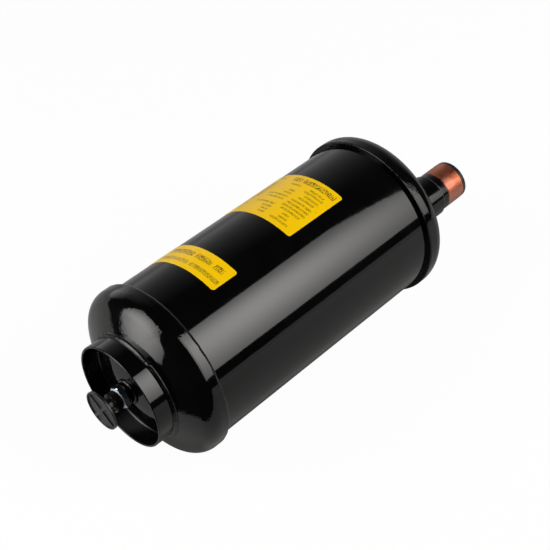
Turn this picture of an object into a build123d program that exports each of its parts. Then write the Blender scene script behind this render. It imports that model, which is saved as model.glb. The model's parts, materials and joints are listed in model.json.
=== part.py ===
from build123d import *
import math
import os

# A welded refrigeration oil separator, lying on its two end caps.
# Millimetres, +Z up. The vessel's axis is horizontal, along X, and its tube connections point to +X.
# Stations are measured along that axis, from the foot ring's mouth towards the connections.
# Angles round the axis are measured from -Y towards +Z.

# Shell
shell_od = 152.4
shell_wall = 3.0
shell_length = 270.0

# Dished end caps, whose skirts go over the shell
cap_wall = 4.0
cap_fit = 0.3
cap_skirt = 6.0
cap_seat_gap = 0.5
crown_radius = 161.0
knuckle_radius = 16.1
cap_weld_leg = 4.2
cap_weld_bulge = 0.9
weld_bulge = 0.5

# Foot ring on the bottom cap
foot_ring_od = 99.0
foot_ring_wall = 2.0
foot_ring_length = 16.6
foot_ring_bevel = 1.6
foot_ring_weld_height = 2.2
foot_ring_weld_width = 3.0
weld_seat = 0.05
cut_past = 1.0

# Oil return connection on the axis of the bottom cap
stub_od = 20.0
stub_bore = 12.6
stub_outside = 4.9
stub_inside = 13.6
stub_fit = 0.15
stub_weld_leg = 2.0
hex_across_flats = 19.0
hex_height = 6.5
hex_angle = 20.0
hex_face_inset = 0.5
hex_chamfer_angle = 30.0
spigot_fit = 0.1
fitting_spigot_length = 8.0
flare_thread_od = 11.1
flare_thread_length = 8.5
flare_cone_length = 2.2
flare_tip_od = 7.2
flare_bore = 5.6

# Transport cap on the flare
loose_fit = 0.3
oil_cap_sleeve_od = 17.6
oil_cap_sleeve_length = 6.9
oil_cap_neck_od = 14.4
oil_cap_neck_length = 8.0
oil_cap_flange_od = 36.4
oil_cap_flange_thickness = 2.5
oil_cap_recess = 1.2
oil_cap_rim = 1.5
oil_cap_rib = 2.6
oil_cap_rib_angle = 56.0
oil_cap_bore_depth = 12.2

# Tube connections on the top cap
connection_inset = 34.2
connection_angle = 30.0
sleeve_od = 41.0
sleeve_height = 14.5
sleeve_inside = 10.0
sleeve_fit = 0.1
sleeve_weld_leg = 3.5
sleeve_weld_bevel = 2.8
tube_od = 35.0
tube_bore = 32.6
tube_inside = 13.0
socket_od = 37.8
socket_above_sleeve = 29.4
socket_bore = 35.1
socket_depth = 25.0

# Transport plugs in the tube sockets
plug_flange_od = 37.4
plug_flange_thickness = 4.0
plug_spigot_length = 12.0
plug_wall = 1.6

# Labels on the shell
label_thickness = 0.2
label_gap = 0.05
label_edge_angle = 75.0
label_arc_length = 115.0
label_corner = 2.5
rating_label_start = 178.8
rating_label_width = 68.0
notice_label_start = 90.6
notice_label_width = 28.0

# Screens on the inner ends of the tubes
screen_wall = 1.2
screen_collar = 12.0
inlet_screen_length = 64.0
outlet_screen_length = 46.0
outlet_screen_od = 52.0
screen_hole_radius = 2.6
screen_row_pitch = 9.0
screen_holes_per_row = 8
inlet_screen_first_row = 9.0
inlet_screen_rows = 5
outlet_screen_first_row = 6.3
outlet_screen_rows = 3

# Baffle between the gas space and the oil sump
baffle_station = 118.0
baffle_thickness = 2.0
baffle_rim = 9.0
baffle_drain_radius = 10.0
baffle_hole_radius = 6.0
baffle_hole_circle = 46.0
baffle_holes = 6

# Float valve on the inner end of the oil return stub
sheet = 1.5
bracket_half_width = 13.0
bracket_foot = 11.0
bracket_ear_gap = 0.4
bracket_ear_start = 9.2
bracket_ear_margin = 4.5
valve_spigot_length = 11.0
valve_hex_across_flats = 14.0
valve_hex_height = 4.5
valve_barrel_od = 11.0
valve_barrel_length = 13.0
valve_orifice = 2.4
valve_chamber = 6.6
valve_chamber_length = 5.0
valve_port_radius = 1.2
seat_below_barrel = 1.0
needle_od = 5.0
running_fit = 0.06
needle_tip_od = 0.6
needle_cone_length = 2.9
needle_above_barrel = 7.5
seat_clearance = 0.05
needle_pin_radius = 1.25
needle_pin_height = 4.0
pivot_offset = 14.0
pivot_radius = 2.0
pin_head_radius = 3.2
pin_head_thickness = 1.0
pin_clip_thickness = 0.8
pin_tail = 0.5
arm_width = 11.0
arm_web_height = 5.0
arm_depth = 3.4
arm_slot_play = 0.35
arm_end = 12.5
arm_tail = 4.5
float_shell_gap = 5.2
float_crown_gap = 4.4
float_collar_height = 3.5
float_collar_gap = 0.2
float_wall = 0.8
float_ahead = 1.0
float_stud_radius = 2.0
float_stud_tail = 1.0
float_nut_across_flats = 7.0
float_nut_height = 2.8

# Ring magnet in the sump
magnet_od = 34.0
magnet_height = 6.0

# Derived sizes
shell_radius = shell_od / 2
cap_radius = shell_radius + cap_fit + cap_wall
foot_ring_radius = foot_ring_od / 2
stub_radius = stub_od / 2
sleeve_radius = sleeve_od / 2
tube_radius = tube_od / 2
thread_radius = flare_thread_od / 2
arm_half = arm_width / 2
connection_offset = shell_radius - connection_inset
crown_centre_depth = math.sqrt((crown_radius - knuckle_radius) ** 2 - (cap_radius - knuckle_radius) ** 2)
head_depth = crown_radius - crown_centre_depth
crown_edge_angle = math.degrees(math.asin((cap_radius - knuckle_radius) / (crown_radius - knuckle_radius)))


def crown_drop(radius):
    # How far the outer crown has fallen from its apex at a distance from the axis
    return crown_radius - math.sqrt(crown_radius**2 - radius**2)


# Stations of the main joints
bottom_apex = foot_ring_length - crown_drop(foot_ring_radius - foot_ring_wall)
bottom_dome = bottom_apex + head_depth
shell_start = bottom_dome + cap_seat_gap
shell_end = shell_start + shell_length
top_dome = shell_end + cap_seat_gap
top_apex = top_dome + head_depth
connection_crown = top_apex - crown_drop(connection_offset)
sleeve_start = connection_crown - sleeve_inside
sleeve_end = connection_crown + sleeve_height
tube_start = sleeve_start - tube_inside
tube_end = sleeve_end + socket_above_sleeve
plug_end = tube_end + plug_flange_thickness
stub_start = bottom_apex - stub_outside
stub_end = bottom_apex + cap_wall + stub_inside
hex_start = stub_start - hex_height
oil_cap_base = hex_start - loose_fit
oil_cap_shoulder = oil_cap_base - oil_cap_sleeve_length
flange_back = oil_cap_shoulder - oil_cap_neck_length
flange_front = flange_back - oil_cap_flange_thickness
valve_hex_start = stub_end + sheet
barrel_start = valve_hex_start + valve_hex_height
barrel_end = barrel_start + valve_barrel_length
seat_station = barrel_start - seat_below_barrel
pivot_station = barrel_end + needle_pin_height
middle = (flange_front + plug_end) / 2

# The float hangs under the arm, as large as the shell below it and the crown behind it leave room for
float_station = pivot_station + float_ahead
float_top = arm_end + float_collar_height
shell_room = shell_radius - shell_wall - float_shell_gap - float_top
crown_reach = crown_radius - cap_wall - float_crown_gap
crown_depth = bottom_apex + crown_radius - float_station
crown_room = (crown_reach**2 - crown_depth**2 - float_top**2) / (crown_reach + float_top)
float_radius = min(shell_room, crown_room) / 2
float_drop = float_top + float_radius
float_centre = Vector(float_station, 0, -float_drop)


def placed(shape):
    # From stations on the vessel's axis to the lying vessel, centred over its resting place
    return Pos(-middle, 0, cap_radius) * shape


def offset_point(angle, distance):
    # Sideways place of a line parallel to the vessel's axis
    turn = math.radians(angle)
    return (-distance * math.cos(turn), distance * math.sin(turn))


def arc_point(centre, radius, angle):
    turn = math.radians(angle)
    return (centre[0] + radius * math.cos(turn), centre[1] + radius * math.sin(turn))


def turned(*points):
    # A ring or a rod turned about the vessel's axis from its half section, as station and radius
    return revolve(make_face(Polyline(*points, close=True)), Axis.X)


def rod(start, end, radius):
    return turned((start, 0), (end, 0), (end, radius), (start, radius))


def tube(start, end, inner, outer):
    return turned((start, inner), (end, inner), (end, outer), (start, outer))


def cross_rod(station, height, radius, half_length):
    # A round rod across the vessel, along Y
    return Pos(station, 0, height) * Rot(90, 0, 0) * Cylinder(radius, 2 * half_length)


def block(stations, widths, heights):
    size = [span[1] - span[0] for span in (stations, widths, heights)]
    centre = [sum(span) / 2 for span in (stations, widths, heights)]
    return Pos(*centre) * Box(*size)


def hexagon(start, end, across_flats, angle=0):
    # A hexagon along the axis, turned down at both faces to a round that lies inside its flats
    face = RegularPolygon(across_flats / 2, 6, major_radius=False)
    body = Rot(0, 90, 0) * extrude(Rot(0, 0, angle) * face, end - start)
    corner = across_flats / math.sqrt(3) + weld_seat
    face_radius = across_flats / 2 - hex_face_inset
    chamfer_depth = (corner - face_radius) * math.tan(math.radians(hex_chamfer_angle))
    limit = turned(
        (start, 0), (end, 0), (end, face_radius), (end - chamfer_depth, corner),
        (start + chamfer_depth, corner), (start, face_radius),
    )
    return (Pos(start, 0, 0) * body) & limit


def at_connection(shape, side):
    # Side 1 is the outlet, facing up and forward, and side -1 the inlet opposite to it
    across, height = offset_point(connection_angle, side * connection_offset)
    return Pos(0, across, height) * shape


def dished_cap():
    # A torispherical head whose dome starts at station 0 and points to +X
    knuckle = (0, cap_radius - knuckle_radius)
    crown = (-crown_centre_depth, 0)
    middle_angle = (90 + crown_edge_angle) / 2
    inner_knuckle = knuckle_radius - cap_wall
    inner_crown = crown_radius - cap_wall
    outline = [
        Line((-cap_skirt, cap_radius), (0, cap_radius)),
        ThreePointArc(
            (0, cap_radius),
            arc_point(knuckle, knuckle_radius, middle_angle),
            arc_point(knuckle, knuckle_radius, crown_edge_angle),
        ),
        ThreePointArc(
            arc_point(crown, crown_radius, crown_edge_angle),
            arc_point(crown, crown_radius, crown_edge_angle / 2),
            arc_point(crown, crown_radius, 0),
        ),
        Line(arc_point(crown, crown_radius, 0), arc_point(crown, inner_crown, 0)),
        ThreePointArc(
            arc_point(crown, inner_crown, 0),
            arc_point(crown, inner_crown, crown_edge_angle / 2),
            arc_point(crown, inner_crown, crown_edge_angle),
        ),
        ThreePointArc(
            arc_point(knuckle, inner_knuckle, crown_edge_angle),
            arc_point(knuckle, inner_knuckle, middle_angle),
            (0, cap_radius - cap_wall),
        ),
        Line((0, cap_radius - cap_wall), (-cap_skirt, cap_radius - cap_wall)),
        Line((-cap_skirt, cap_radius - cap_wall), (-cap_skirt, cap_radius)),
    ]
    return revolve(make_face(outline), Axis.X)


def bottom_end_cap():
    cap = Pos(bottom_dome, 0, 0) * Rot(0, 0, 180) * dished_cap()
    return cap - rod(bottom_apex - cut_past, bottom_dome, stub_radius + stub_fit)


def top_end_cap():
    cap = Pos(top_dome, 0, 0) * dished_cap()
    hole = rod(top_dome, top_apex + cut_past, sleeve_radius + sleeve_fit)
    return cap - at_connection(hole, 1) - at_connection(hole, -1)


def cap_weld(skirt_edge, direction):
    # The full bead in the corner between a cap's skirt and the shell
    toe = skirt_edge + direction * cap_weld_leg
    top = (skirt_edge, cap_radius - weld_bulge / 2)
    foot = (toe, shell_radius)
    bulge = (
        (skirt_edge + toe) / 2 + direction * cap_weld_bulge,
        (top[1] + foot[1]) / 2 + cap_weld_bulge,
    )
    outline = [
        Line((skirt_edge, shell_radius), top),
        ThreePointArc(top, bulge, foot),
        Line(foot, (skirt_edge, shell_radius)),
    ]
    return revolve(make_face(outline), Axis.X)


def on_bottom_crown(radius):
    return (bottom_apex + crown_drop(radius) - weld_seat, radius)


def crown_bead(outer, height, width, bevel=0.0):
    # A bead round a tube that stands on the bottom crown, filling the bevel at the tube's foot
    top = (on_bottom_crown(outer)[0] - height, outer)
    toe = on_bottom_crown(outer + width)
    bulge = ((top[0] + toe[0] - weld_bulge) / 2, (top[1] + toe[1] + weld_bulge) / 2)
    root = on_bottom_crown(outer - bevel)
    middle_root = on_bottom_crown(outer + (width - bevel) / 2)
    outline = [Line(root, top), ThreePointArc(top, bulge, toe), ThreePointArc(toe, middle_root, root)]
    return revolve(make_face(outline), Axis.X)


def foot_ring_weld():
    return crown_bead(foot_ring_radius, foot_ring_weld_height, foot_ring_weld_width, foot_ring_bevel)


def foot_ring():
    ring = tube(0, foot_ring_length - weld_seat, foot_ring_radius - foot_ring_wall, foot_ring_radius)
    mouth = ring.edges().group_by(Axis.X)[0]
    return fillet(mouth, foot_ring_wall / 4) - foot_ring_weld()


def oil_return_stub():
    return tube(stub_start, stub_end, stub_bore / 2, stub_radius)


def oil_return_weld():
    return crown_bead(stub_radius, stub_weld_leg, stub_weld_leg)


def oil_return_fitting():
    thread_end = hex_start - flare_thread_length
    tip = thread_end - flare_cone_length
    flare = turned(
        (stub_start, 0), (stub_start, thread_radius), (thread_end, thread_radius),
        (tip, flare_tip_od / 2), (tip, 0),
    )
    spigot = rod(stub_start, stub_start + fitting_spigot_length, stub_bore / 2 - spigot_fit)
    body = hexagon(hex_start, stub_start, hex_across_flats, hex_angle) + flare + spigot
    return body - rod(tip - cut_past, stub_start + fitting_spigot_length + cut_past, flare_bore / 2)


def oil_return_cap():
    bore = thread_radius + loose_fit
    body = turned(
        (oil_cap_base, bore), (oil_cap_base, oil_cap_sleeve_od / 2),
        (oil_cap_shoulder, oil_cap_sleeve_od / 2), (oil_cap_shoulder, oil_cap_neck_od / 2),
        (flange_back, oil_cap_neck_od / 2), (flange_back, oil_cap_flange_od / 2),
        (flange_front, oil_cap_flange_od / 2), (flange_front, 0),
        (oil_cap_base - oil_cap_bore_depth, 0), (oil_cap_base - oil_cap_bore_depth, bore),
    )
    shoulder = body.edges().filter_by(GeomType.CIRCLE).filter_by(
        lambda edge: abs(edge.radius - oil_cap_sleeve_od / 2) < 0.01
        and abs(edge.center().X - oil_cap_shoulder) < 0.01
    )
    body = fillet(shoulder, (oil_cap_sleeve_od - oil_cap_neck_od) / 4)
    inside = oil_cap_flange_od / 2 - oil_cap_rim
    recess = rod(flange_front - cut_past, flange_front + oil_cap_recess, inside)
    depth = (flange_front - cut_past, flange_front + oil_cap_recess)
    for turn in (0, 90):
        rib = block(depth, (-inside, inside), (-oil_cap_rib / 2, oil_cap_rib / 2))
        recess -= Rot(-oil_cap_rib_angle - turn, 0, 0) * rib
    return body - recess


def connection_sleeve(side):
    return at_connection(tube(sleeve_start, sleeve_end, tube_radius + sleeve_fit, sleeve_radius), side)


def sleeve_weld(side):
    # The bead follows the crown round the sleeve: a collar under an offset crown, with its corner taken off
    bead_radius = sleeve_radius + sleeve_weld_leg
    collar = at_connection(tube(sleeve_start, sleeve_end, sleeve_radius, bead_radius), side)
    crown_centre = Pos(top_apex - crown_radius, 0, 0)
    collar &= crown_centre * Sphere(crown_radius + sleeve_weld_leg)
    collar -= crown_centre * Sphere(crown_radius + weld_seat)
    outer_edges = collar.edges().filter_by(
        lambda edge: edge.length > math.pi * (sleeve_radius + bead_radius)
    )
    return chamfer(outer_edges.sort_by(Axis.X)[-1], sleeve_weld_bevel)


def connection_tube(side):
    # A tube whose end is swaged out to a socket, with the swage's shoulder on the sleeve's end
    socket_floor = tube_end - socket_depth
    swage = (socket_od - tube_od) / 2
    pipe = turned(
        (tube_start, tube_bore / 2), (socket_floor - swage, tube_bore / 2), (socket_floor, socket_bore / 2),
        (tube_end, socket_bore / 2), (tube_end, socket_od / 2), (sleeve_end + swage, socket_od / 2),
        (sleeve_end, tube_radius), (tube_start, tube_radius),
    )
    return at_connection(pipe, side)


def connection_plug(side):
    spigot = socket_bore / 2 - loose_fit
    base = tube_end - plug_spigot_length
    plug = turned(
        (base, 0), (base, spigot), (tube_end, spigot), (tube_end, plug_flange_od / 2),
        (plug_end, plug_flange_od / 2), (plug_end, spigot - plug_wall),
        (base + plug_wall, spigot - plug_wall), (base + plug_wall, 0),
    )
    rim = plug.edges().group_by(Axis.X)[-1].sort_by(SortBy.RADIUS)[-1]
    return at_connection(fillet(rim, plug_wall / 2), side)


def label(start, width):
    inner = shell_radius + label_gap
    outer = inner + label_thickness
    section = make_face(
        Polyline((start, inner), (start + width, inner), (start + width, outer), (start, outer), close=True)
    )
    sheet_arc = math.degrees(label_arc_length / outer)
    strip = revolve(section, Axis.X, sheet_arc)
    corners = strip.edges().filter_by(lambda edge: edge.length < 2 * label_thickness)
    strip = fillet(corners, label_corner)
    return Rot(180 - label_edge_angle - sheet_arc, 0, 0) * strip


def screen_holes(first_row, rows, radius):
    drills = []
    for row in range(rows):
        station = first_row + row * screen_row_pitch
        for half in range(screen_holes_per_row // 2):
            turn = 180 * (half + 0.5 * (row % 2)) / (screen_holes_per_row / 2)
            drills.append(Rot(turn, 0, 0) * Pos(station, 0, 0) * Cylinder(screen_hole_radius, 2 * radius + cut_past))
    return drills


def inlet_screen():
    inner = tube_radius + sleeve_fit
    outer = inner + screen_wall
    top = sleeve_start - loose_fit
    base = top - inlet_screen_length
    basket = turned(
        (base, 0), (base, outer), (top, outer), (top, inner),
        (base + screen_wall, inner), (base + screen_wall, 0),
    )
    for drill in screen_holes(base + inlet_screen_first_row, inlet_screen_rows, outer):
        basket -= drill
    return at_connection(basket, -1)


def outlet_screen():
    inner = tube_radius + sleeve_fit
    outer = outlet_screen_od / 2
    top = sleeve_start - loose_fit
    shoulder = top - screen_collar
    base = top - outlet_screen_length
    basket = turned(
        (base, 0), (base, outer), (shoulder, outer), (shoulder, inner + screen_wall),
        (top, inner + screen_wall), (top, inner), (shoulder - screen_wall, inner),
        (shoulder - screen_wall, outer - screen_wall), (base + screen_wall, outer - screen_wall),
        (base + screen_wall, 0),
    )
    for drill in screen_holes(base + outlet_screen_first_row, outlet_screen_rows, outer):
        basket -= drill
    return at_connection(basket, 1)


def baffle_plate():
    outer = shell_radius - shell_wall - cap_fit
    back = baffle_station + baffle_thickness
    plate = turned(
        (baffle_station, baffle_drain_radius), (baffle_station, outer), (baffle_station + baffle_rim, outer),
        (baffle_station + baffle_rim, outer - baffle_thickness), (back, outer - baffle_thickness),
        (back, baffle_drain_radius),
    )
    for hole in range(baffle_holes):
        across, height = offset_point(360 * hole / baffle_holes, baffle_hole_circle)
        plate -= Pos(0, across, height) * rod(baffle_station - cut_past, back + cut_past, baffle_hole_radius)
    return plate


def sump_magnet():
    end = stub_end - loose_fit
    return tube(end - magnet_height, end, stub_radius + loose_fit, magnet_od / 2)


def float_bracket():
    inner = arm_half + bracket_ear_gap
    ear_end = pivot_offset + bracket_ear_margin
    ear_top = pivot_station + bracket_ear_margin
    foot = (stub_end, valve_hex_start)
    base = block(foot, (-bracket_half_width, bracket_half_width), (-bracket_foot, bracket_foot))
    bracket = base + block(foot, (-inner - sheet, inner + sheet), (0, ear_end))
    for side in (-1, 1):
        spread = sorted((side * inner, side * (inner + sheet)))
        bracket += block((stub_end, ear_top), spread, (bracket_ear_start, ear_end))
    bracket -= rod(stub_end - cut_past, valve_hex_start + cut_past, stub_bore / 2)
    return bracket - cross_rod(pivot_station, pivot_offset, pivot_radius + running_fit, bracket_half_width)


def valve_body():
    spigot = rod(stub_end - valve_spigot_length, valve_hex_start, stub_bore / 2 - spigot_fit)
    barrel = rod(barrel_start, barrel_end, valve_barrel_od / 2)
    body = hexagon(valve_hex_start, barrel_start, valve_hex_across_flats) + spigot + barrel
    body -= rod(stub_end - valve_spigot_length - cut_past, seat_station + cut_past, valve_orifice / 2)
    body -= rod(seat_station, seat_station + valve_chamber_length, valve_chamber / 2)
    body -= rod(seat_station, barrel_end + cut_past, needle_od / 2 + running_fit)
    port = seat_station + valve_chamber_length - 1.5 * valve_port_radius
    for turn in (45, 135):
        body -= Rot(turn, 0, 0) * Pos(port, 0, 0) * Cylinder(valve_port_radius, valve_hex_across_flats * 2)
    return body


def valve_needle():
    seat_edge = valve_orifice / 2 - seat_clearance
    slope = needle_cone_length / (needle_od - needle_tip_od) * 2
    tip = seat_station - (seat_edge - needle_tip_od / 2) * slope
    needle = turned(
        (tip, 0), (tip, needle_tip_od / 2), (tip + needle_cone_length, needle_od / 2),
        (barrel_end + needle_above_barrel, needle_od / 2), (barrel_end + needle_above_barrel, 0),
    )
    return needle - cross_rod(pivot_station, 0, needle_pin_radius + spigot_fit, needle_od)


def needle_pin():
    return cross_rod(pivot_station, 0, needle_pin_radius, arm_half - loose_fit)


def float_arm():
    web = (pivot_station + arm_web_height, pivot_station + arm_web_height + sheet)
    depth = (pivot_station - arm_depth, web[1])
    tail = pivot_offset + arm_tail
    arm = block(web, (-arm_half, arm_half), (-arm_end, tail))
    for side in (-1, 1):
        spread = sorted((side * arm_half, side * (arm_half - sheet)))
        arm += block(depth, spread, (-arm_end, tail))
    arm += block(depth, (-arm_half, arm_half), (-arm_end, sheet - arm_end))
    arm -= cross_rod(pivot_station, pivot_offset, pivot_radius + running_fit, arm_width)
    half_slot = needle_pin_radius + arm_slot_play
    slot = block(
        (pivot_station - half_slot, pivot_station + half_slot), (-arm_width, arm_width), (-half_slot, half_slot)
    )
    slot += cross_rod(pivot_station, half_slot, half_slot, arm_width)
    slot += cross_rod(pivot_station, -half_slot, half_slot, arm_width)
    stud_hole = Pos(float_centre.X, 0, -arm_end) * Cylinder(float_stud_radius + spigot_fit, 4 * sheet)
    return arm - slot - stud_hole


def float_ball():
    ball = Sphere(float_radius) - Sphere(float_radius - float_wall)
    stud_top = float_drop - arm_end + sheet + float_nut_height + float_stud_tail
    stud = Pos(0, 0, (float_radius - float_wall / 2 + stud_top) / 2) * Cylinder(
        float_stud_radius, stud_top - float_radius + float_wall / 2
    )
    collar = Pos(0, 0, float_radius + float_collar_height / 2 - float_wall / 2) * Cylinder(
        2 * float_stud_radius, float_collar_height + float_wall - float_collar_gap
    )
    return Pos(float_centre) * (ball + stud + collar)


def float_nut():
    nut = extrude(RegularPolygon(float_nut_across_flats / 2, 6, major_radius=False), float_nut_height)
    nut -= Cylinder(float_stud_radius + spigot_fit, 4 * float_nut_height)
    return Pos(float_centre.X, 0, sheet - arm_end + weld_seat) * nut


def float_pin():
    reach = arm_half + bracket_ear_gap + sheet
    shank = Pos(0, pin_clip_thickness / 2 + weld_seat, 0) * cross_rod(
        pivot_station, pivot_offset, pivot_radius, reach + pin_clip_thickness / 2 + 2 * weld_seat + pin_tail
    )
    head = Pos(0, -reach - pin_head_thickness / 2 - weld_seat, 0) * cross_rod(
        pivot_station, pivot_offset, pin_head_radius, pin_head_thickness / 2
    )
    return shank + head


def float_pin_clip():
    reach = arm_half + bracket_ear_gap + sheet + weld_seat
    ring = cross_rod(pivot_station, pivot_offset, pin_head_radius, pin_clip_thickness / 2)
    ring -= cross_rod(pivot_station, pivot_offset, pivot_radius + weld_seat, pin_clip_thickness)
    return Pos(0, reach + pin_clip_thickness / 2, 0) * ring


def build():
    return {
        "shell": tube(shell_start, shell_end, shell_radius - shell_wall, shell_radius),
        "bottom_end_cap": bottom_end_cap(),
        "top_end_cap": top_end_cap(),
        "bottom_cap_weld": cap_weld(bottom_dome + cap_skirt, 1),
        "top_cap_weld": cap_weld(top_dome - cap_skirt, -1),
        "foot_ring": foot_ring(),
        "foot_ring_weld": foot_ring_weld(),
        "oil_return_stub": oil_return_stub(),
        "oil_return_weld": oil_return_weld(),
        "oil_return_fitting": oil_return_fitting(),
        "oil_return_cap": oil_return_cap(),
        "outlet_sleeve": connection_sleeve(1),
        "outlet_sleeve_weld": sleeve_weld(1),
        "outlet_tube": connection_tube(1),
        "outlet_plug": connection_plug(1),
        "inlet_sleeve": connection_sleeve(-1),
        "inlet_sleeve_weld": sleeve_weld(-1),
        "inlet_tube": connection_tube(-1),
        "inlet_plug": connection_plug(-1),
        "rating_label": label(rating_label_start, rating_label_width),
        "notice_label": label(notice_label_start, notice_label_width),
        "inlet_screen": inlet_screen(),
        "outlet_screen": outlet_screen(),
        "baffle_plate": baffle_plate(),
        "sump_magnet": sump_magnet(),
        "float_bracket": float_bracket(),
        "valve_body": valve_body(),
        "valve_needle": valve_needle(),
        "needle_pin": needle_pin(),
        "float_arm": float_arm(),
        "float_ball": float_ball(),
        "float_nut": float_nut(),
        "float_pin": float_pin(),
        "float_pin_clip": float_pin_clip(),
    }


os.makedirs("parts", exist_ok=True)
for node, solid in build().items():
    export_step(placed(solid), f"parts/{node}.step")
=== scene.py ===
import json
import math

import bmesh
import bpy
import numpy as np
from mathutils import Matrix, Vector


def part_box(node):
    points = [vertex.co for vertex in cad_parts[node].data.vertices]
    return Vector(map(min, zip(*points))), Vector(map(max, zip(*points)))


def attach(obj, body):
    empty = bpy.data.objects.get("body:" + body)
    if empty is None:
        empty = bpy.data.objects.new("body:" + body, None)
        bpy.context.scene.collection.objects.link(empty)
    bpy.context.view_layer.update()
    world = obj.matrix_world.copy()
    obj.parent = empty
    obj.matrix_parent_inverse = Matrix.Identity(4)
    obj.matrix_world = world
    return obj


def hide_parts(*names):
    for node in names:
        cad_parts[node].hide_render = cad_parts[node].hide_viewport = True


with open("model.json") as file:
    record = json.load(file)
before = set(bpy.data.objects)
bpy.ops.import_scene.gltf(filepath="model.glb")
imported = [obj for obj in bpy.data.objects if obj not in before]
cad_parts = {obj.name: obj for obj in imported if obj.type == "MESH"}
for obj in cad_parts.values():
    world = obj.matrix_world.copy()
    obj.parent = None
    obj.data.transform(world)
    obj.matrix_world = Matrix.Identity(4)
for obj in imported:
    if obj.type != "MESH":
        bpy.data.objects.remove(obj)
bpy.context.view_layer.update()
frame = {"nodes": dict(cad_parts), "record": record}
scene = bpy.context.scene
scene.view_settings.view_transform = "Standard"
nodes = frame["nodes"]
slotOf = {row["node"]: row["material_slot"] for row in frame["record"]["subparts"]}
bodyOf = {node: body for body, names in frame["record"]["behaviour"]["bodies"].items() for node in names}
print("frame loaded:", len(nodes), "nodes")

mm = 0.001


def span(node):        # where a node starts and ends along X
    low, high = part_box(node)
    return low.x, high.x


def turnedPlace(node):        # the Y and Z of a turned node's axis, and its radius
    low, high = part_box(node)
    return (low.y + high.y) / 2, (low.z + high.z) / 2, (high.z - low.z) / 2


axisY, axisZ, shellRadius = turnedPlace("shell")     # the vessel's axis runs along X
capRadius = turnedPlace("top_end_cap")[2]


# Camera, in the place that the photograph was taken from
camera = {
    "place": (-0.50401, -0.49525, 0.81356),
    "right": (0.70135, -0.71281, 0.0),
    "up": (0.50948, 0.50129, 0.6993),
    "forward": (0.49853, 0.49051, -0.7148),
    "lens": 73.93,
    "sensor": 36.0,
    "clip": (0.05, 50),
}


def makeCamera():
    data = bpy.data.cameras.new("camera")
    data.lens, data.sensor_width = camera["lens"], camera["sensor"]
    data.clip_start, data.clip_end = camera["clip"]
    holder = bpy.data.objects.new("camera", data)
    scene.collection.objects.link(holder)
    axes = [Vector(camera["right"]), Vector(camera["up"]), -Vector(camera["forward"])]
    turn = Matrix([axis.normalized() for axis in axes]).transposed().to_4x4()
    holder.matrix_world = Matrix.Translation(camera["place"]) @ turn
    scene.camera = holder


makeCamera()


# Shader sums: a Value wraps a socket, and each operator on it adds one Math node
class Value:
    def __init__(self, look, socket):
        self.look, self.socket = look, socket

    def sum(self, operation, *values, clamp=False):
        inputs = dict(enumerate(values))
        return self.look.node("ShaderNodeMath", {"operation": operation, "use_clamp": clamp}, inputs)

    def __add__(self, other):
        return self.sum("ADD", self, other)

    def __sub__(self, other):
        return self.sum("SUBTRACT", self, other)

    def __rsub__(self, other):
        return self.sum("SUBTRACT", other, self)

    def __mul__(self, other):
        return self.sum("MULTIPLY", self, other)

    def __truediv__(self, other):
        return self.sum("DIVIDE", self, other)

    def __pow__(self, other):
        return self.sum("POWER", self, other)

    def __neg__(self):
        return self.sum("MULTIPLY", self, -1)

    def __gt__(self, other):
        return self.sum("GREATER_THAN", self, other)

    def __abs__(self):
        return self.sum("ABSOLUTE", self)

    __radd__ = __add__
    __rmul__ = __mul__

    def clamped(self):
        return self.sum("ADD", self, 0, clamp=True)

    def floor(self):
        return self.sum("FLOOR", self)

    def larger(self, other):
        return self.sum("MAXIMUM", self, other)

    def smaller(self, other):
        return self.sum("MINIMUM", self, other)

    def near(self, middle, reach):        # 1 within reach of middle
        return self.sum("COMPARE", self, middle, reach)

    def rise(self, start, end):        # 0 before start, 1 after end, and a smooth step between
        settings = {"interpolation_type": "SMOOTHSTEP", "clamp": True}
        return self.look.node("ShaderNodeMapRange", settings, {0: self, 1: start, 2: end, 3: 0, 4: 1})


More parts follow.
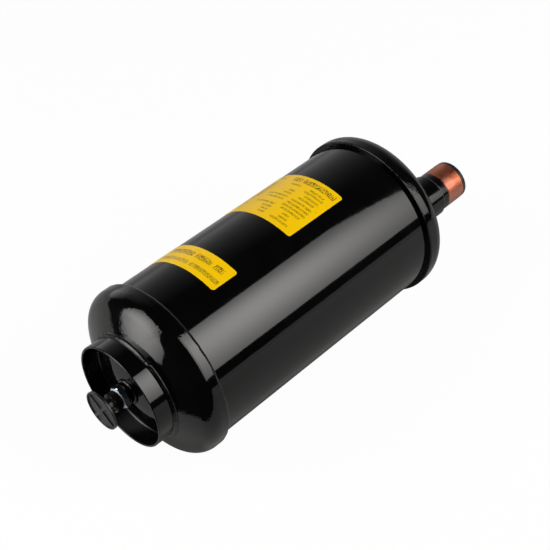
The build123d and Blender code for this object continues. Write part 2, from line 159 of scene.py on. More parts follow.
# One material's or the world's nodes
class Look:
    def __init__(self, name, tree=None):
        self.material = None
        if tree is None:
            self.material = bpy.data.materials.new(name)
            self.material.use_nodes = True
            tree = self.material.node_tree
        self.tree = tree
        tree.nodes.clear()

    # the settings are set first, and then each socket gets its value or link
    def node(self, kind, settings=None, inputs=None, out=0):
        made = self.tree.nodes.new(kind)
        for key, value in (settings or {}).items():
            setattr(made, key, value)
        for key, value in (inputs or {}).items():
            if isinstance(value, Value):
                self.tree.links.new(value.socket, made.inputs[key])
            elif hasattr(value, "__len__") and made.inputs[key].type == "RGBA":
                made.inputs[key].default_value = (*value[:3], 1)
            else:
                made.inputs[key].default_value = value
        return Value(self, made.outputs[out]) if made.outputs else None

    def place(self):        # a point of the surface in the part's own frame, in metres
        return self.node("ShaderNodeTexCoord", out="Object")

    def split(self, vector):
        return [self.node("ShaderNodeSeparateXYZ", {}, {0: vector}, out=axis) for axis in range(3)]

    def join(self, x, y, z):
        return self.node("ShaderNodeCombineXYZ", {}, {0: x, 1: y, 2: z})

    # size is that of a patch, in metres; the noise stays mostly between 0.3 and 0.7
    def noise(self, vector, size, detail=2.0, roughness=0.5, stretch=(1, 1, 1)):
        scaled = self.node("ShaderNodeVectorMath", {"operation": "MULTIPLY"}, {0: vector, 1: stretch})
        inputs = {"Vector": scaled, "Scale": 1 / size, "Detail": detail, "Roughness": roughness}
        return self.node("ShaderNodeTexNoise", {}, inputs)

    def cells(self, vector, size):        # the distance to the nearest of many scattered points
        return self.node("ShaderNodeTexVoronoi", {}, {"Vector": vector, "Scale": 1 / size})

    def mix(self, share, first, second):        # the node's sockets 6 and 7 are its two colours
        return self.node("ShaderNodeMix", {"data_type": "RGBA"}, {0: share, 6: first, 7: second}, out=2)

    def speckle(self, x, y):        # one random number for each whole x and y
        return self.node("ShaderNodeTexWhiteNoise", {"noise_dimensions": "2D"},
                         {"Vector": self.join(x.floor(), y.floor(), 0)})

    def bump(self, height, depth, under=None):       # depth in metres for a height of 1
        inputs = {"Strength": 1.0, "Distance": depth, "Height": height}
        if under is not None:
            inputs["Normal"] = under
        return self.node("ShaderNodeBump", {}, inputs)

    def surface(self, **inputs):
        named = {key.replace("_", " "): value for key, value in inputs.items()}
        return self.node("ShaderNodeBsdfPrincipled", {}, named)

    def finish(self, shader, kind="ShaderNodeOutputMaterial"):
        self.node(kind, {}, {"Surface": shader})
        return self.material


# Light: two tall boxes that are brightest in their middle, where glow is added to what their rim gives
lights = {
    "frontBox": {"place": (0.686, -1.042, 1.221), "yaw": 1.642, "pitch": -0.438, "roll": 0.043,
                 "half": (0.623, 0.896), "rim": 1.88, "glow": 5.57, "spread": (0.494, 0.695),
                 "colour": (1, 0.985, 0.965)},
    "endBox": {"place": (-1.25, 0.61, 0.44), "yaw": -0.579, "pitch": -0.47, "roll": -0.07,
               "half": (0.48, 1.05), "rim": 0.4, "glow": 6.6, "spread": (0.5, 1.15),
               "colour": (1, 0.985, 0.965)},
}


def makeStripBox(name, box):
    yaw, pitch, roll = box["yaw"], box["pitch"], box["roll"]
    normal = Vector((math.cos(pitch) * math.cos(yaw), math.cos(pitch) * math.sin(yaw), math.sin(pitch)))
    level = Vector((-math.sin(yaw), math.cos(yaw), 0))
    upright = normal.cross(level)
    across = level * math.cos(roll) + upright * math.sin(roll)
    along = upright * math.cos(roll) - level * math.sin(roll)
    halfWidth, halfHeight = box["half"]
    mesh = bpy.data.meshes.new(name)
    corners = [(-halfWidth, -halfHeight, 0), (halfWidth, -halfHeight, 0),
               (halfWidth, halfHeight, 0), (-halfWidth, halfHeight, 0)]
    mesh.from_pydata(corners, [], [(0, 1, 2, 3)])
    panel = bpy.data.objects.new(name, mesh)
    scene.collection.objects.link(panel)
    turn = Matrix([across, along, normal]).transposed().to_4x4()
    panel.matrix_world = Matrix.Translation(box["place"]) @ turn
    panel.visible_camera = False
    look = Look(name)
    x, y = look.split(look.place())[:2]
    # strength = rim + glow e^-((x / spread)^2 + (y / spread)^2), and only forwards
    distance = (x / box["spread"][0]) ** 2 + (y / box["spread"][1]) ** 2
    glow = look.node("ShaderNodeMath", {"operation": "EXPONENT"}, {0: -distance})
    strength = box["rim"] + box["glow"] * glow
    facing = 1 - look.node("ShaderNodeNewGeometry", out="Backfacing")
    light = look.node("ShaderNodeEmission", {}, {"Color": box["colour"], "Strength": strength * facing})
    mesh.materials.append(look.finish(light))


# The object lies on a pale sheet that ends to the left, with painted shade under the object and just past its
# far end;
# past it and above is a dim room, with a pale sweep behind the sheet and a low pale band past its side. A way
# is a direction in X and Y, and an edge the cosines of the angles from it between which the sweep or band
# fades
studio = {
    "room": 0.02,
    "roomShine": 0.01,         # how far reflections see the room whitened
    "floorReach": 4.0,
    "floorHeight": -0.0002,
    "floorColour": (0.9, 0.9, 0.9),
    "floorWhite": 0.96,        # how far the camera sees the floor whitened; the rest keeps the shadow
    "sheetHeight": -0.0004,
    "sheetColour": (0.52, 0.52, 0.52),
    "sheetEdge": -0.27,        # where the sheet's left edge crosses y = 0, and how it leans from there
    "sheetLean": -0.27,
    "paintedShadeColour": (0.22, 0.22, 0.22),       # painted shade: the sheet is darker under the object and just past its far end, where its shadow falls
    "shadeHalf": (0.056, 0.078),             # the shade fades between these distances from y = 0,
    "shadeStart": (-0.2, -0.15),             # and along x between these places
    "shadeEnd": (0.36, 0.5),
    "farLevel": 0.55,          # how bright the sheet is far from the object,
    "farStart": 0.5,           # which it becomes between these distances
    "farEnd": 1.6,
    "sweepWay": (0.713, 0.701),
    "sweepEdge": (0.55, 0.8),
    "sweepFoot": 0.58,
    "sweepFade": 0.72,
    "endWay": (0.087, 0.996),
    "endEdge": (0.93, 0.99),
    "endLevel": 0.9,
    "endFade": 2.2,
}


def seenShare(look, plain, shine):        # the share of white for the camera, and for reflections
    path = [look.node("ShaderNodeLightPath", out=name)
            for name in ("Is Camera Ray", "Is Glossy Ray", "Is Transmission Ray")]
    return path[0] * plain + (path[1] + path[2]) * shine


def makeWorld():
    world = bpy.data.worlds.new("studio")
    world.use_nodes = True
    scene.world = world
    look = Look("studio", world.node_tree)
    x, y, z = look.split(look.node("ShaderNodeTexCoord", out="Generated"))
    level = ((x * x + y * y) ** 0.5).larger(0.001)        # kept above 0, because it divides
    behind = ((x * studio["sweepWay"][0] + y * studio["sweepWay"][1]) / level).rise(*studio["sweepEdge"])
    atEnd = ((x * studio["endWay"][0] + y * studio["endWay"][1]) / level).rise(*studio["endEdge"])
    sweep = (studio["sweepFoot"] - studio["sweepFade"] * z).larger(0).smaller(studio["sweepFoot"]) * behind
    end = (studio["endLevel"] - studio["endFade"] * abs(z)).larger(0) * atEnd
    room = sweep + end + studio["room"]
    seen = seenShare(look, 1.0, studio["roomShine"])
    strength = room + seen * (1 - room).larger(0)
    look.finish(look.node("ShaderNodeBackground", {}, {"Color": (1, 1, 1), "Strength": strength}),
                "ShaderNodeOutputWorld")


def levelSheet(name, corners, height):
    mesh = bpy.data.meshes.new(name)
    mesh.from_pydata([(x, y, 0) for x, y in corners], [], [(0, 1, 2, 3)])
    sheet = bpy.data.objects.new(name, mesh)
    scene.collection.objects.link(sheet)
    sheet.location.z = height
    return sheet, Look(name)


def makeFloor():        # what the camera sees, and keeps the shadow
    reach = studio["floorReach"]
    corners = [(-reach, -reach), (reach, -reach), (reach, reach), (-reach, reach)]
    floor, look = levelSheet("floor", corners, studio["floorHeight"])
    floor.visible_glossy = floor.visible_diffuse = floor.visible_transmission = floor.visible_shadow = False
    paper = look.node("ShaderNodeBsdfDiffuse", {}, {"Color": studio["floorColour"]})
    white = look.node("ShaderNodeEmission", {}, {"Color": (1, 1, 1), "Strength": 1.0})
    seen = seenShare(look, studio["floorWhite"], studio["roomShine"])
    whitened = look.node("ShaderNodeMixShader", {}, {0: seen, 1: paper, 2: white})
    floor.data.materials.append(look.finish(whitened))


def makeSheet():        # what lights and mirrors in the object
    reach, edge, lean = studio["floorReach"], studio["sheetEdge"], studio["sheetLean"]
    corners = [(edge - lean * reach, -reach), (reach, -reach), (reach, reach), (edge + lean * reach, reach)]
    sheet, look = levelSheet("sheet", corners, studio["sheetHeight"])
    sheet.visible_camera = False
    x, y = look.split(look.place())[:2]
    # painted shade: the sheet turns dark under the object and just past its far end, where the object's
    # shadow falls
    under = (1 - abs(y).rise(*studio["shadeHalf"])) * x.rise(*studio["shadeStart"])
    under = under * (1 - x.rise(*studio["shadeEnd"]))
    pale = look.node("ShaderNodeBsdfDiffuse", {}, {"Color": studio["sheetColour"]})
    dark = look.node("ShaderNodeBsdfDiffuse", {}, {"Color": studio["paintedShadeColour"]})
    paper = look.node("ShaderNodeMixShader", {}, {0: under, 1: pale, 2: dark})
    far = ((x * x + y * y) ** 0.5).rise(studio["farStart"], studio["farEnd"])
    farPaper = look.node("ShaderNodeEmission", {}, {"Color": (1, 1, 1), "Strength": studio["farLevel"]})
    whole = look.node("ShaderNodeMixShader", {}, {0: far, 1: paper, 2: farPaper})
    sheet.data.materials.append(look.finish(whole))


makeWorld()
makeFloor()
makeSheet()
for name, box in lights.items():
    makeStripBox(name, box)
print("studio made")


# Flare fitting: a hexagon with turned corners, and a male thread that ends in the flare's cone
fitting = {
    "acrossFlats": 19.0 * mm,
    "angle": 20.0,
    "faceInset": 1.2 * mm,
    "chamferAngle": 32.0,
    "dullDepth": 0.9 * mm,
    "spigotLength": 8.0 * mm,
    "spigotRadius": 6.2 * mm,
    "hexHeight": 6.5 * mm,
    "threadRadius": 5.55 * mm,
    "threadLength": 8.5 * mm,
    "threadPitch": 1.27 * mm,
    "threadDepth": 0.62 * mm,
    "threadRunIn": 0.8 * mm,
    "threadSlope": 1.4,        # how steep the thread's sides are, before its crest and root are cut flat
    "threadCrest": 0.2,
    "tipRadius": 3.6 * mm,
    "coneSlope": 0.9,
    "bore": 2.8 * mm,
    "columns": 144,
    "chamferRows": 12,
    "threadRows": 76,
    "sharp": 28.0,
}

# Foot ring: a short tube with soft edges, and a fillet of paint where its inside meets the cap
footRing = {
    "wall": 2.0 * mm,
    "rounding": 0.7 * mm,
    "paintFillet": 2.0 * mm,
    "filletFoot": 3.2 * mm,    # how far the paint reaches in over the cap
    "columns": 224,
}

# Black paint: dust, orange peel and a slow wave everywhere, with pits and sags where asked for, and a painted
# highlight along a sleeve's end.
# A spread, here and below, is the two values of a noise between which one look becomes the other
paint = {
    "colour": (0.0007, 0.0007, 0.0008),
    "dusty": (0.0016, 0.0016, 0.0017),
    "dustSize": 30 * mm,
    "dustSpread": (0.35, 0.75),
    "dullSpread": (0.3, 0.8),
    "dustDull": 0.03,          # how much rougher the dusty patches are
    "index": 1.43,
    "roughness": 0.05,
    "peelSize": 3.2 * mm,
    "peelDepth": 0.006 * mm,
    "waveSize": 16 * mm,
    "waveDepth": 0.03 * mm,
    "pitSize": 2.2 * mm,
    "pitSlope": (0.02, 0.22),  # from a pit's middle to its floor's end and to its rim, as shares of pitSize
    "pitDepth": 0.25 * mm,
    "pitPatch": 7 * mm,        # the size of the patches that pits come in
    "pitSpread": (0.42, 0.56),
    "sagSize": 2.0 * mm,
    "sagDepth": 0.09 * mm,
    "sagPatch": 22 * mm,
    "sagSpread": (0.44, 0.6),
    # painted highlight: a lighter band along the edge of a sleeve's end, with duller paint there
    "paintedHighlight": (0.2, 0.2, 0.2),
    "highlightShare": 0.8,
    "highlightDull": 0.25,
    "highlightWidth": 0.7 * mm,
    "inside": (0.001, 0.001, 0.001),       # on the inside of the foot ring
    "insideDull": 0.2,
    "insideBlend": 0.6 * mm,
}


def paintLayer(look, place, peel=1.0, wave=1.0, pits=0.0, sags=0.0, rough=0.0):
    dust = look.noise(place, paint["dustSize"], 4.0)
    colour = look.mix(dust.rise(*paint["dustSpread"]), paint["colour"], paint["dusty"])
    normal = look.bump(look.noise(place, paint["waveSize"], 1.0), paint["waveDepth"] * wave)
    normal = look.bump(look.noise(place, paint["peelSize"], 2.0), paint["peelDepth"] * peel, normal)
    if pits:
        hollow = 1 - look.cells(place, paint["pitSize"]).rise(*paint["pitSlope"])
        rare = look.noise(place, paint["pitPatch"], 1.0).rise(*paint["pitSpread"])
        normal = look.bump(-(hollow * rare), paint["pitDepth"] * pits, normal)
    if sags:
        thick = look.noise(place, paint["sagPatch"], 1.0).rise(*paint["sagSpread"])
        sag = look.noise(place, paint["sagSize"], 1.0) * thick
        normal = look.bump(sag, paint["sagDepth"] * sags, normal)
    roughness = dust.rise(*paint["dullSpread"]) * paint["dustDull"] + (paint["roughness"] + rough)
    return colour, roughness, normal


def blackPaint(name, **layer):
    look = Look(name)
    colour, roughness, normal = paintLayer(look, look.place(), **layer)
    return look.finish(look.surface(
        Base_Color=colour, Roughness=roughness, IOR=paint["index"], Normal=normal))


def matteInside(name, inner):        # paint that is duller on the inside of a ring
    look = Look(name)
    place = look.place()
    y, z = look.split(place)[1:]
    radius = ((y - axisY) ** 2 + (z - axisZ) ** 2) ** 0.5
    colour, roughness, normal = paintLayer(look, place)
    inside = 1 - radius.rise(inner, inner + paint["insideBlend"])
    return look.finish(look.surface(
        Base_Color=look.mix(inside, colour, paint["inside"]),
        Roughness=roughness + inside * paint["insideDull"], IOR=paint["index"], Normal=normal))


def highlightedEnd(name, end):        # paint with a painted highlight along the edge of a sleeve's end
    look = Look(name)
    place = look.place()
    x = look.split(place)[0]
    colour, roughness, normal = paintLayer(look, place)
    # painted highlight: lighter and duller paint along the edge of the sleeve's end
    edgeHighlight = x.rise(end - paint["highlightWidth"], end - paint["highlightWidth"] / 2) * paint["highlightShare"]
    return look.finish(look.surface(
        Base_Color=look.mix(edgeHighlight, colour, paint["paintedHighlight"]), Roughness=roughness + edgeHighlight * paint["highlightDull"],
        IOR=paint["index"], Normal=normal))


copper = {
    "bright": (0.66, 0.20, 0.105),
    "brown": (0.40, 0.105, 0.05),
    "drawnSize": 9 * mm,       # patches drawn out along the tube, brown to bright
    "drawnStretch": (0.35, 1, 1),
    "drawnSpread": (0.36, 0.66),
    "drawnDepth": 0.01 * mm,
    "pink": (0.72, 0.33, 0.26),
    "stainSize": 14 * mm,
    "stainSpread": (0.45, 0.7),
    "stainPink": 0.25,         # how pink the stains are, and the tube's lower side,
    "lowerPink": 0.6,
    "pinkBelow": (1 * mm, 11 * mm),      # which fades between these heights over the tube's axis
    "spot": (0.28, 0.06, 0.03),
    "spotSize": 3.4 * mm,
    "spotSlope": (0.08, 0.3),
    "spotPatch": 7 * mm,
    "spotSpread": (0.5, 0.65),
    "spotShare": 0.7,
    "roughness": 0.27,
    "stainDull": 0.16,
    "overspray": 0.05,         # how much duller the paint is on the tube
    "paintEnd": 9.0 * mm,      # how far the paint runs past the sleeve
    "paintFade": 3.0 * mm,
    "paintRagged": 4.0 * mm,
}


def copperTube(name, paintEnd, height):
    look = Look(name)
    place = look.place()
    x, z = look.split(place)[::2]
    drawn = look.noise(place, copper["drawnSize"], 4.0, 0.6, copper["drawnStretch"])
    stain = look.noise(place, copper["stainSize"], 3.0, 0.55)
    colour = look.mix(drawn.rise(*copper["drawnSpread"]), copper["brown"], copper["bright"])
    lower = 1 - (z - height).rise(*copper["pinkBelow"])
    pinkness = stain.rise(*copper["stainSpread"]) * copper["stainPink"] + lower * copper["lowerPink"]
    colour = look.mix(pinkness, colour, copper["pink"])
    spots = 1 - look.cells(place, copper["spotSize"]).rise(*copper["spotSlope"])
    rare = look.noise(place, copper["spotPatch"]).rise(*copper["spotSpread"])
    colour = look.mix(spots * rare * copper["spotShare"], colour, copper["spot"])
    edge = x + (look.noise(place, copper["paintRagged"], 4.0) - 0.5) * copper["paintRagged"]
    bare = edge.rise(paintEnd - copper["paintFade"] / 2, paintEnd + copper["paintFade"] / 2)
    black, gloss, normal = paintLayer(look, place)
    bareDull = stain * copper["stainDull"] + copper["roughness"]
    dull = (gloss + copper["overspray"]) * (1 - bare) + bare * bareDull
    return look.finish(look.surface(
        Base_Color=look.mix(bare, black, colour), Metallic=bare, IOR=paint["index"], Roughness=dull,
        Normal=look.bump(drawn, copper["drawnDepth"], normal)))


zinc = {
    "blue": (0.56, 0.66, 0.78),
    "pale": (0.80, 0.86, 0.92),
    "patchSize": 4 * mm,
    "patchDull": 0.12,
    "roughness": 0.16,
    "coneDull": 0.3,           # how much duller the cone on the hexagon's corners is
    "turningSize": 0.6 * mm,
    "turningStretch": (6, 0.3, 0.3),
    "turningDepth": 0.003 * mm,
}


def zincPlate():
    look = Look("zincPlate")
    place = look.place()
    x, y, z = look.split(place)
    hexStart = span("oil_return_fitting")[1] - fitting["spigotLength"] - fitting["hexHeight"]
    radius = ((y - axisY) ** 2 + (z - axisZ) ** 2) ** 0.5
    outside = radius > fitting["acrossFlats"] / 2 - fitting["faceInset"]
    cone = outside * x.near(hexStart + fitting["dullDepth"] / 2, fitting["dullDepth"] / 2)
    patches = look.noise(place, zinc["patchSize"], 3.0)
    turning = look.noise(place, zinc["turningSize"], 2.0, 0.5, zinc["turningStretch"])
    return look.finish(look.surface(
        Base_Color=look.mix(patches, zinc["blue"], zinc["pale"]), Metallic=1.0,
        Roughness=patches * zinc["patchDull"] + zinc["roughness"] + cone * zinc["coneDull"],
        Normal=look.bump(turning, zinc["turningDepth"])))


plastic = {
    "dark": (0.010, 0.010, 0.011),
    "hazy": (0.022, 0.022, 0.023),
    "hazeSize": 9 * mm,
    "hazeSpread": (0.3, 0.7),
    "hazeDull": 0.12,
    "roughness": 0.28,
    "index": 1.48,
    "flange": 2.8 * mm,        # the transport cap's flange is dull, and all the rest is glossier
    "gloss": 0.16,
    "grainSize": 0.8 * mm,
    "grainDepth": 0.012 * mm,
}


def blackPlastic():
    look = Look("blackPlastic")
    place = look.place()
    x = look.split(place)[0]
    grain = look.noise(place, plastic["grainSize"], 3.0)
    haze = look.noise(place, plastic["hazeSize"], 3.0)
    behind = x > span("oil_return_cap")[0] + plastic["flange"]
    return look.finish(look.surface(
        Base_Color=look.mix(haze.rise(*plastic["hazeSpread"]), plastic["dark"], plastic["hazy"]),
        Roughness=haze * plastic["hazeDull"] + plastic["roughness"] - behind * plastic["gloss"],
        IOR=plastic["index"], Normal=look.bump(grain, plastic["grainDepth"])))


bareMetal = {
    "patchSize": 8 * mm,
    "patchSpread": (0.3, 0.7),
    "patchDull": 0.2,
    "markSize": 0.9 * mm,
    "markDepth": 0.004 * mm,
}


def metal(name, dark, pale, roughness, size=bareMetal["patchSize"], stretch=(1, 1, 1)):
    look = Look(name)
    place = look.place()
    patches = look.noise(place, size, 4.0, 0.6)
    marks = look.noise(place, bareMetal["markSize"], 3.0, 0.6, stretch)
    return look.finish(look.surface(
        Base_Color=look.mix(patches.rise(*bareMetal["patchSpread"]), dark, pale), Metallic=1.0,
        Roughness=patches * bareMetal["patchDull"] + (roughness - bareMetal["patchDull"] / 2),
        Normal=look.bump(marks, bareMetal["markDepth"])))


# Labels: a yellow film printed with plain bars of broken marks. Each print is its rows' height and its bars,
# which are (middle, start, end), in mm, up from the edge at -X and along the arc from the front edge
label = {
    "yellow": (0.98, 0.625, 0.001),
    "deep": (0.95, 0.575, 0.001),
    "ink": (0.035, 0.02, 0.006),
    "patchSize": 20 * mm,
    "roughness": 0.24,
    "patchDull": 0.1,
    "index": 1.38,
    "waveSize": 18 * mm,
    "waveDepth": 0.03 * mm,
    "frontAngle": 75.0,
    "smallPrint": {"pitch": 1.6, "row": 0.8, "weight": 0.8},       # a mark's pitch and its rows' in mm, and
    "bigPrint": {"pitch": 3.6, "row": 1.2, "weight": 0.9},         # how dark it is
    "markColumns": 5,
    "gaps": 0.15,              # the share of a mark's full columns that is bare, and what its sparse ones add
    "moreGaps": 0.5,
}
ratingPrint = {
    "bigPrint": (6.0, [(61.2, 3.3, 40.4), (61.2, 43.0, 53.0)]),
    "smallPrint": (2.5, [
        (53.5, 9.6, 26.3), (49.4, 7.5, 29.2), (44.4, 8.3, 24.2), (39.8, 9.2, 27.1), (34.4, 6.7, 30.0),
        (29.8, 6.3, 31.7), (25.2, 5.8, 32.9), (20.6, 7.9, 30.0), (15.6, 15.8, 23.3), (11.0, 13.8, 23.8),
        (6.5, 8.8, 29.2), (53.5, 37.5, 49.6), (44.6, 36.3, 42.9), (40.2, 36.3, 45.4), (35.2, 36.3, 60.8),
        (30.6, 36.7, 57.9), (21.0, 37.5, 61.3), (16.0, 37.5, 48.8), (11.4, 37.5, 45.4), (6.9, 36.7, 45.4),
        (62.5, 66.0, 77.0), (54.0, 68.0, 80.0), (50.0, 68.0, 80.0), (46.0, 68.0, 80.0), (42.0, 68.0, 80.0),
        (38.0, 68.0, 80.0), (34.0, 68.0, 80.0), (30.0, 68.0, 80.0), (26.0, 71.0, 77.0), (17.7, 71.0, 77.0),
        (9.8, 71.0, 77.0)]),
}
noticePrint = {
    "bigPrint": (6.0, [(18.7, 7.5, 18.0), (18.7, 21.7, 40.0), (18.7, 42.5, 76.0)]),
    "smallPrint": (4.6, [(7.7, 2.5, 36.0), (7.7, 39.0, 78.0)]),
}


def yellowFilm(name, node, printed):
    look = Look(name)
    place = look.place()
    x, y, z = look.split(place)
    up = (x - span(node)[0]) / mm
    angle = look.node("ShaderNodeMath", {"operation": "ARCTAN2"}, {0: z - axisZ, 1: -y})
    along = (angle - math.radians(label["frontAngle"])) * (shellRadius / mm)
    ink = 0
    for kind, (height, bars) in printed.items():
        size = label[kind]
        inBars = 0
        for middle, start, end in bars:
            inBars = inBars + up.near(middle, height / 2) * along.near((start + end) / 2, (end - start) / 2)
        letter = along / size["pitch"]
        within = letter - letter.floor()
        # a mark's first and fourth columns are mostly full, those between are sparse, and the fifth is bare
        column = 1 / label["markColumns"]
        sparse = within.near(2 * column, column)
        speckle = look.speckle(letter * label["markColumns"], up / size["row"])
        marks = speckle > sparse * label["moreGaps"] + label["gaps"]
        ink = ink + inBars * marks * (4 * column - within > 0) * size["weight"]
    patches = look.noise(place, label["patchSize"], 3.0)
    film = look.mix(patches, label["deep"], label["yellow"])
    wave = look.noise(place, label["waveSize"], 2.0)
    return look.finish(look.surface(
        Base_Color=look.mix(ink.clamped(), film, label["ink"]),
        Roughness=patches * label["patchDull"] + label["roughness"], IOR=label["index"],
        Normal=look.bump(wave, label["waveDepth"])))


# Each node gets its slot's finish; some pieces that replace nodes get one of their own
sleeveEnd = span("outlet_sleeve")[1]
finishes = {
    "black_paint": blackPaint("blackPaint"),
    "weld_paint": blackPaint("weldPaint", peel=6.0, wave=2.0, pits=1.5, rough=0.09),
    "copper": copperTube("copperTube", sleeveEnd + copper["paintEnd"], turnedPlace("outlet_tube")[1]),
    "zinc_steel": zincPlate(),
    "black_plastic": blackPlastic(),
    "bare_steel": metal("oiledSteel", (0.26, 0.25, 0.24), (0.44, 0.43, 0.42), 0.34),
    "stainless": metal("stainless", (0.52, 0.51, 0.49), (0.68, 0.67, 0.65), 0.26, stretch=(0.2, 1, 3)),
    "brass": metal("brass", (0.66, 0.43, 0.13), (0.83, 0.60, 0.24), 0.24),
    "magnet": metal("magnet", (0.07, 0.07, 0.075), (0.13, 0.13, 0.135), 0.5, 3 * mm),
}
capPaint = blackPaint("capPaint", peel=2.0, wave=1.0, sags=1.0)
endWeldPaint = blackPaint("endWeldPaint", peel=6.0, wave=2.0, pits=1.5, rough=0.2)
sleevePaint = highlightedEnd("sleevePaint", sleeveEnd)
ringPaint = matteInside("ringPaint", turnedPlace("foot_ring")[2] - footRing["wall"])
ownFinish = {
    "rating_label": yellowFilm("ratingFilm", "rating_label", ratingPrint),
    "notice_label": yellowFilm("noticeFilm", "notice_label", noticePrint),
}
for node, slot in slotOf.items():
    mesh = nodes[node].data
    mesh.materials.clear()
    mesh.materials.append(ownFinish.get(node) or finishes[slot])
print("finishes made")


# Turned pieces: a grid of points, with a column for each angle round the axis and a row for each point of
# an outline
def gridPiece(name, points, closed=True, sharp=35.0):
    rows, columns = points.shape[:2]
    row = np.arange(rows if closed else rows - 1)[:, None]
    column = np.arange(columns)[None, :]
    ahead, beside = (row + 1) % rows, (column + 1) % columns
    faces = np.stack([row * columns + column, row * columns + beside,
                      ahead * columns + beside, ahead * columns + column], axis=-1)
    mesh = bpy.data.meshes.new(name)
    mesh.from_pydata(points.reshape(-1, 3), [], faces.reshape(-1, 4))
    piece = bpy.data.objects.new(name, mesh)
    scene.collection.objects.link(piece)
    closeMesh(mesh, sharp)
    return piece


# poles and seams closed, faces outwards, and only true corners sharp
def closeMesh(mesh, sharp, reach=0.0001 * mm):
    edit = bmesh.new()
    edit.from_mesh(mesh)
    bmesh.ops.remove_doubles(edit, verts=edit.verts, dist=reach)
    bmesh.ops.recalc_face_normals(edit, faces=edit.faces)
    edit.to_mesh(mesh)
    edit.free()
    mesh.polygons.foreach_set("use_smooth", np.ones(len(mesh.polygons), dtype=bool))
    mesh.set_sharp_from_angle(angle=math.radians(sharp))


def aroundAxis(stations, radii, columns, centre=(axisY, axisZ)):
    # point = (station, centre Y - radius cos angle, centre Z + radius sin angle)
    angle = np.linspace(0, 2 * math.pi, columns, endpoint=False)[None, :]
    stations, radii = (np.atleast_2d(values) for values in (stations, radii))
    stations = stations.T if stations.shape[0] == 1 else stations
    radii = radii.T if radii.shape[0] == 1 else radii
    x, radius, angle = np.broadcast_arrays(stations, radii, angle)
    return np.stack([x, centre[0] - radius * np.cos(angle), centre[1] + radius * np.sin(angle)], axis=-1)


def outline(*corners, steps=5, past=0.4):
    # each corner is (station, radius, rounding). Its arc touches both edges, and past each end of the arc, a
    # share of the rounding away, is a point that keeps the flat beside it flat
    points = []
    for index, (x, radius, rounding) in enumerate(corners):
        here = np.array((x, radius))
        if not rounding:
            points.append(here[None])
            continue
        ways = [np.array(corners[(index + turn) % len(corners)][:2]) - here for turn in (-1, 1)]
        ways = [way / np.linalg.norm(way) for way in ways]
        half = math.acos(np.dot(*ways)) / 2
        reach, turn = rounding / math.tan(half), math.pi - 2 * half
        centre = here + (ways[0] + ways[1]) / np.linalg.norm(ways[0] + ways[1]) * rounding / math.sin(half)
        share = np.linspace(0, 1, steps + 1)[:, None]
        start, end = (here + way * reach - centre for way in ways)
        arc = centre + (np.sin((1 - share) * turn) * start + np.sin(share * turn) * end) / math.sin(turn)
        support = reach + rounding * past
        points += [(here + ways[0] * support)[None], arc, (here + ways[1] * support)[None]]
    return np.concatenate(points)


def turnedPiece(name, shape, columns, centre=(axisY, axisZ), closed=True, sharp=35.0):
    return gridPiece(name, aroundAxis(shape[:, 0], shape[:, 1], columns, centre), closed, sharp)


def dress(piece, finish, node):        # the piece stands for a node, on its body and with its slot
    piece.data.materials.clear()
    piece.data.materials.append(finish)
    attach(piece, bodyOf[node])
    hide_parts(node)


def applyModifiers(piece):
    made = bpy.data.meshes.new_from_object(piece.evaluated_get(bpy.context.evaluated_depsgraph_get()))
    piece.modifiers.clear()
    piece.data = made


# Shell and its two dished caps
shell = {"wall": 3.0 * mm, "edge": 0.3 * mm, "columns": 256}
cap = {
    "wall": 4.0 * mm,
    "skirt": 6.0 * mm,
    "crown": 161.0 * mm,
    "knuckle": 16.1 * mm,
    "rows": (16, 44),        # rows of points across the knuckle and the crown
    "columns": 256,
    "sharp": 50.0,
    "holeFit": 0.1 * mm,
    "holeColumns": 96,
}


def crownDrop(distance):        # how far the crown has fallen from its apex at a distance from the axis
    return cap["crown"] - np.sqrt(cap["crown"] ** 2 - distance ** 2)


def makeShell():
    start, end = span("shell")
    inner, edge = shellRadius - shell["wall"], shell["edge"]
    shape = outline((start, inner, 0), (start, shellRadius, edge), (end, shellRadius, edge), (end, inner, 0))
    dress(turnedPiece("shellSkin", shape, shell["columns"]), finishes["black_paint"], "shell")


def capOutline(hole):
    # from the crown's hole over crown, knuckle and skirt, and back inside; station 0 is where the dome starts
    ring, between = capRadius - cap["knuckle"], cap["crown"] - cap["knuckle"]
    depth = math.sqrt(between ** 2 - ring ** 2)
    edge = math.asin(ring / between)
    sides = []
    for inset in (0, cap["wall"]):
        crown, knuckle = cap["crown"] - inset, cap["knuckle"] - inset
        onCrown = np.linspace(math.asin(hole / crown), edge, cap["rows"][1])
        onKnuckle = np.linspace(edge, math.pi / 2, cap["rows"][0])[1:]
        x = np.concatenate([crown * np.cos(onCrown) - depth, knuckle * np.cos(onKnuckle), [-cap["skirt"]]])
        radius = np.concatenate([
            crown * np.sin(onCrown), ring + knuckle * np.sin(onKnuckle), [capRadius - inset]])
        sides.append(np.stack([x, radius], axis=1))
    return np.concatenate([sides[0], sides[1][::-1]])


def makeCaps():
    shape = capOutline(turnedPlace("oil_return_stub")[2] + cap["holeFit"])
    shape[:, 0] = span("bottom_end_cap")[1] - cap["skirt"] - shape[:, 0]
    dress(turnedPiece("bottomCapSkin", shape, cap["columns"], sharp=cap["sharp"]), capPaint, "bottom_end_cap")
    shape = capOutline(0)
    shape[:, 0] += span("top_end_cap")[0] + cap["skirt"]
    piece = turnedPiece("topCapSkin", shape, cap["columns"], closed=False, sharp=cap["sharp"])
    for node in ("outlet_sleeve", "inlet_sleeve"):
        y, z, radius = turnedPlace(node)
        (start, end), hole = span(node), radius + cap["holeFit"]
        rod = outline((start, 0, 0), (start, hole, 0), (end, hole, 0), (end, 0, 0))
        drill = turnedPiece("drill", rod, cap["holeColumns"], (y, z), closed=False)
        cut = piece.modifiers.new("hole", "BOOLEAN")
        cut.operation, cut.solver, cut.object = "DIFFERENCE", "EXACT", drill
        applyModifiers(piece)
        bpy.data.objects.remove(drill)
    closeMesh(piece.data, cap["sharp"])
    dress(piece, capPaint, "top_end_cap")


makeShell()
makeCaps()
print("shell and caps made")


